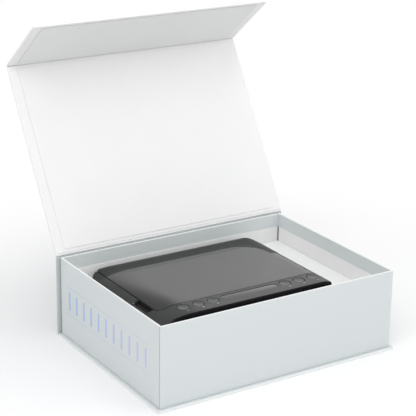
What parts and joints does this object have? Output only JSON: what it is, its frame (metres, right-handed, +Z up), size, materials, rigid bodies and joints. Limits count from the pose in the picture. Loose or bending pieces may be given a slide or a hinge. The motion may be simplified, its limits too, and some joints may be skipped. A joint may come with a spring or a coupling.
{
  "type": "uv sanitizer with speaker",
  "caption": "Black UV phone sanitizer with a crowned hinged lid, key strip and speaker front, lying in a rigid presentation box with a hinged lid and magnetic front flap.",
  "frame": {"origin": "on the underside of the base board, at the middle of the tray", "axes": "+Z up, +X along the long front side to the right, +Y from the front to the box's hinge side"},
  "size_m": [0.308, 0.3444, 0.3499],
  "materials": {
    "box_paper": "matt, faint fine print",
    "box_lining": "smooth white",
    "insert_card": "smooth white card",
    "lower_shell": "satin black",
    "upper_shell": "satin charcoal",
    "lid_shell": "high gloss black",
    "grille": "matt black",
    "keys": "satin charcoal",
    "light_bar": "smoked, satin",
    "rubber": "matt",
    "black_parts": "matt black",
    "chamber_lining": "light reflecting",
    "clear": "clear",
    "circuit": "solder mask",
    "copper_winding": "enamelled copper",
    "steel": "plain",
    "magnet": "nickel plated"
  },
  "bodies": {
    "case": {"base_board": "box_paper", "spine_board": "box_paper", "tray": "box_paper", "tray_lining": "box_lining", "tray_steel_plate_left": "steel", "tray_steel_plate_right": "steel", "insert_platform": "insert_card", "insert_floor": "insert_card"},
    "case_lid": {"lid_crease": "box_paper", "case_lid": "box_paper", "case_lid_lining": "box_lining"},
    "front_flap": {"flap_crease": "box_paper", "front_flap": "box_paper", "front_flap_lining": "box_lining", "flap_magnet_left": "magnet", "flap_magnet_right": "magnet"},
    "sanitizer": {"base_shell": "lower_shell", "top_deck": "upper_shell", "front_grille": "grille", "light_bar": "light_bar", "rubber_foot_front_left": "rubber", "rubber_foot_front_right": "rubber", "rubber_foot_back_right": "rubber", "rubber_foot_back_left": "rubber", "thumb_grip": "rubber", "speaker_cone_left": "rubber", "speaker_cone_right": "rubber", "power_inlet": "black_parts", "lid_sensor": "black_parts", "speaker_basket_left": "black_parts", "speaker_basket_right": "black_parts", "coil_shield": "black_parts", "hinge_leaf_deck": "black_parts", "chamber_tub": "chamber_lining", "phone_shelf": "clear", "key_board": "circuit", "uv_base_lamps": "circuit", "main_board": "circuit", "charge_coil": "copper_winding", "latch_catch": "steel", "hinge_pin": "steel", "base_screw_front_left": "steel", "base_screw_front_right": "steel", "base_screw_back_right": "steel", "base_screw_back_left": "steel", "speaker_magnet_left": "magnet", "speaker_magnet_right": "magnet"},
    "sanitizer_lid": {"lid_cover": "lid_shell", "lid_liner": "chamber_lining", "uv_lid_window": "clear", "uv_lid_lamps": "circuit", "lid_seal": "rubber", "lid_magnet": "magnet", "hinge_leaf_lid": "black_parts"},
    "key_1_cap": {"key_1": "keys"},
    "key_2_cap": {"key_2": "keys"},
    "key_3_cap": {"key_3": "keys"},
    "key_4_cap": {"key_4": "keys"},
    "key_5_cap": {"key_5": "keys"},
    "key_6_cap": {"key_6": "keys"}
  },
  "joints": [
    {"name": "case_lid_turn", "type": "hinge", "parent": "case", "child": "case_lid", "pos_m": [0, 0.1127, 0.09685], "axis": [-1, 0, 0], "range_deg": [-121.1, 58.9]},
    {"name": "front_flap_turn", "type": "hinge", "parent": "case_lid", "child": "front_flap", "pos_m": [0, 0.22907, 0.28977], "axis": [-1, 0, 0], "range_deg": [-8, 82]},
    {"name": "sanitizer_lift", "type": "slide", "parent": "case", "child": "sanitizer", "axis": [0, 0, 1], "range_m": [0, 0.095]},
    {"name": "sanitizer_lid_turn", "type": "hinge", "parent": "sanitizer", "child": "sanitizer_lid", "pos_m": [0.0963, 0, 0.0704], "axis": [0, 1, 0], "range_deg": [0, 90]},
    {"name": "key_1_press", "type": "slide", "parent": "sanitizer", "child": "key_1_cap", "axis": [0, 0, -1], "range_m": [0, 0.0008], "stiffness_N_per_m": 400},
    {"name": "key_2_press", "type": "slide", "parent": "sanitizer", "child": "key_2_cap", "axis": [0, 0, -1], "range_m": [0, 0.0008], "stiffness_N_per_m": 400},
    {"name": "key_3_press", "type": "slide", "parent": "sanitizer", "child": "key_3_cap", "axis": [0, 0, -1], "range_m": [0, 0.0008], "stiffness_N_per_m": 400},
    {"name": "key_4_press", "type": "slide", "parent": "sanitizer", "child": "key_4_cap", "axis": [0, 0, -1], "range_m": [0, 0.0008], "stiffness_N_per_m": 400},
    {"name": "key_5_press", "type": "slide", "parent": "sanitizer", "child": "key_5_cap", "axis": [0, 0, -1], "range_m": [0, 0.0008], "stiffness_N_per_m": 400},
    {"name": "key_6_press", "type": "slide", "parent": "sanitizer", "child": "key_6_cap", "axis": [0, 0, -1], "range_m": [0, 0.0008], "stiffness_N_per_m": 400}
  ]
}
